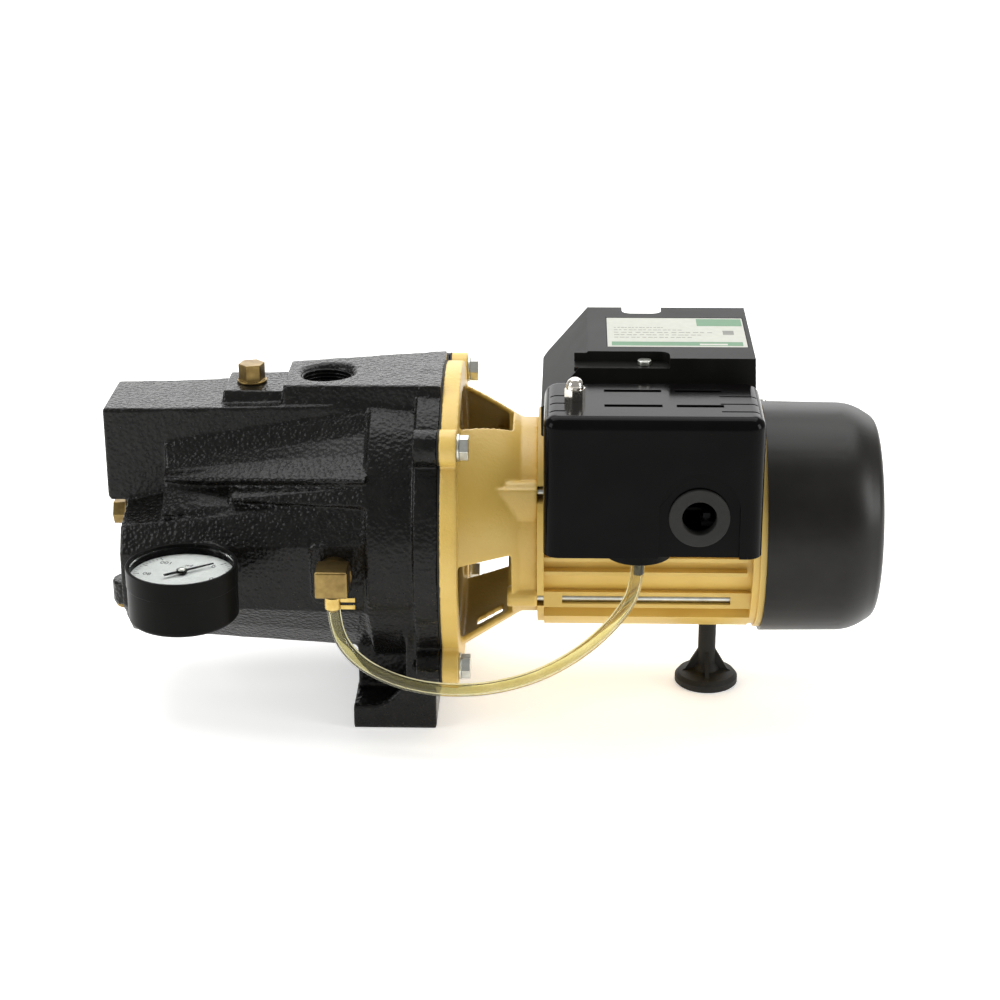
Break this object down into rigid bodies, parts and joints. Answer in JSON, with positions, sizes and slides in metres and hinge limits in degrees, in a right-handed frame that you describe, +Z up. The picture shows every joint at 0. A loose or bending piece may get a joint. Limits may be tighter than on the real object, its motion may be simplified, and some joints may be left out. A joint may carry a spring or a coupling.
{
  "type": "shallow well jet pump",
  "caption": "Horizontal jet pump: cast-iron casing with built-in ejector, finned motor on a lantern bracket, pressure gauge, clear sensing tube and pressure switch.",
  "frame": {"origin": "on the ground, midway between the two foot bolts of the pump casing", "axes": "+X along the shaft from the suction port to the fan, +Z up, -Y towards the gauge and switch"},
  "size_m": [0.4693, 0.2402, 0.2299],
  "materials": {
    "black_cast_iron": "textured black paint on cast iron",
    "cream_enamel": "yellow cream enamel on die-cast aluminium",
    "gloss_black_plastic": "glossy moulded plastic",
    "black_plastic": "satin moulded plastic",
    "black_enamel": "satin black enamel on steel",
    "brass": "turned",
    "zinc_steel": "zinc plated",
    "nickel": "nickel plated",
    "yellow_zinc": "yellow zinc plated",
    "steel": "ground",
    "black_rubber": "moulded",
    "seal_fibre": "fibre",
    "clear_vinyl": "clear vinyl",
    "clear_window": "clear polycarbonate",
    "dial_white": "printed",
    "label_film": "printed film",
    "white_plastic": "moulded",
    "engineering_plastic": "glass-filled, moulded",
    "ceramic": "ceramic ring",
    "lamination_steel": "stacked laminations",
    "copper_wire": "enamelled copper wire",
    "bronze": "spring bronze"
  },
  "bodies": {
    "pump": {"pump_casing": "black_cast_iron", "motor_bracket": "cream_enamel", "motor_frame": "cream_enamel", "rear_shield": "cream_enamel", "switch_cover": "gloss_black_plastic", "fan_cover": "black_plastic", "capacitor_box_cover": "black_plastic", "capacitor_box_base": "black_plastic", "gauge_case": "black_enamel", "gauge_bezel": "black_enamel", "priming_and_drain_plugs": "brass", "nozzle_access_plug": "brass", "elbow_fitting": "brass", "gauge_stem_and_frame": "brass", "bourdon_tube": "bronze", "flange_bolts_and_washers": "zinc_steel", "tie_rods_and_nuts": "zinc_steel", "cover_screws": "zinc_steel", "switch_studs_and_pins": "zinc_steel", "switch_base": "zinc_steel", "switch_port_dome": "zinc_steel", "switch_acorn_nut": "nickel", "hose_clamp": "yellow_zinc", "bearing_outer_races": "steel", "bearing_wave_spring": "steel", "switch_range_spring": "steel", "seal_plate": "black_cast_iron", "motor_foot": "black_rubber", "switch_grommet": "black_rubber", "venturi_o_ring": "black_rubber", "switch_diaphragm": "black_rubber", "casing_gasket": "seal_fibre", "pressure_tube": "clear_vinyl", "gauge_window": "clear_window", "gauge_dial": "dial_white", "rating_label": "label_film", "run_capacitor": "white_plastic", "box_terminal_block": "white_plastic", "switch_terminal_block": "engineering_plastic", "diffuser": "engineering_plastic", "ejector_nozzle": "engineering_plastic", "venturi_tube": "engineering_plastic", "seal_seat": "ceramic", "stator_core": "lamination_steel", "stator_windings": "copper_wire"},
    "rotor": {"motor_shaft": "steel", "rotor_core": "lamination_steel", "impeller": "engineering_plastic", "impeller_nut_and_key": "brass", "shaft_seal_cartridge": "steel", "shaft_slinger": "black_rubber", "bearing_inner_races": "steel", "cooling_fan": "engineering_plastic"},
    "front_ball_set": {"front_bearing_balls_and_cage": "steel"},
    "rear_ball_set": {"rear_bearing_balls_and_cage": "steel"},
    "gauge_pointer": {"gauge_needle_and_pinion": "steel"},
    "gauge_quadrant": {"gauge_quadrant": "brass"},
    "switch_lever": {"switch_lever": "zinc_steel", "switch_contact_bar": "engineering_plastic"},
    "switch_plunger": {"switch_plunger": "zinc_steel"}
  },
  "joints": [
    {"name": "rotor_spin", "type": "hinge", "parent": "pump", "child": "rotor", "pos_m": [0, 0, 0.112], "axis": [1, 0, 0], "continuous": true},
    {"name": "front_ball_set_spin", "type": "hinge", "parent": "pump", "child": "front_ball_set", "pos_m": [0.0735, 0, 0.112], "axis": [1, 0, 0], "continuous": true},
    {"name": "rear_ball_set_spin", "type": "hinge", "parent": "pump", "child": "rear_ball_set", "pos_m": [0.2045, 0, 0.112], "axis": [1, 0, 0], "continuous": true},
    {"name": "pointer_turn", "type": "hinge", "parent": "pump", "child": "gauge_pointer", "pos_m": [-0.1188, -0.115, 0.1087], "axis": [0, 0, -1], "range_deg": [0, 270], "stiffness_Nm_per_rad": 0.0002, "deforming": ["bourdon_tube"]},
    {"name": "quadrant_turn", "type": "hinge", "parent": "pump", "child": "gauge_quadrant", "pos_m": [-0.13662, -0.11186, 0.1087], "axis": [0, 0, -1], "range_deg": [-31, 1]},
    {"name": "lever_tilt", "type": "hinge", "parent": "pump", "child": "switch_lever", "pos_m": [0.1185, -0.091, 0.1555], "axis": [0, -1, 0], "range_deg": [0, 3], "stiffness_Nm_per_rad": 5, "springref_deg": -2.86, "deforming": ["switch_range_spring"]},
    {"name": "plunger_slide", "type": "slide", "parent": "pump", "child": "switch_plunger", "axis": [0, 0, 1], "range_m": [0, 0.0013]}
  ],
  "couplings": [
    {"joint": "front_ball_set_spin", "follows": "rotor_spin", "ratio": 0.3812},
    {"joint": "rear_ball_set_spin", "follows": "rotor_spin", "ratio": 0.3812},
    {"joint": "quadrant_turn", "follows": "pointer_turn", "ratio": -0.11111},
    {"joint": "plunger_slide", "follows": "lever_tilt", "m_per_rad": 0.022}
  ]
}
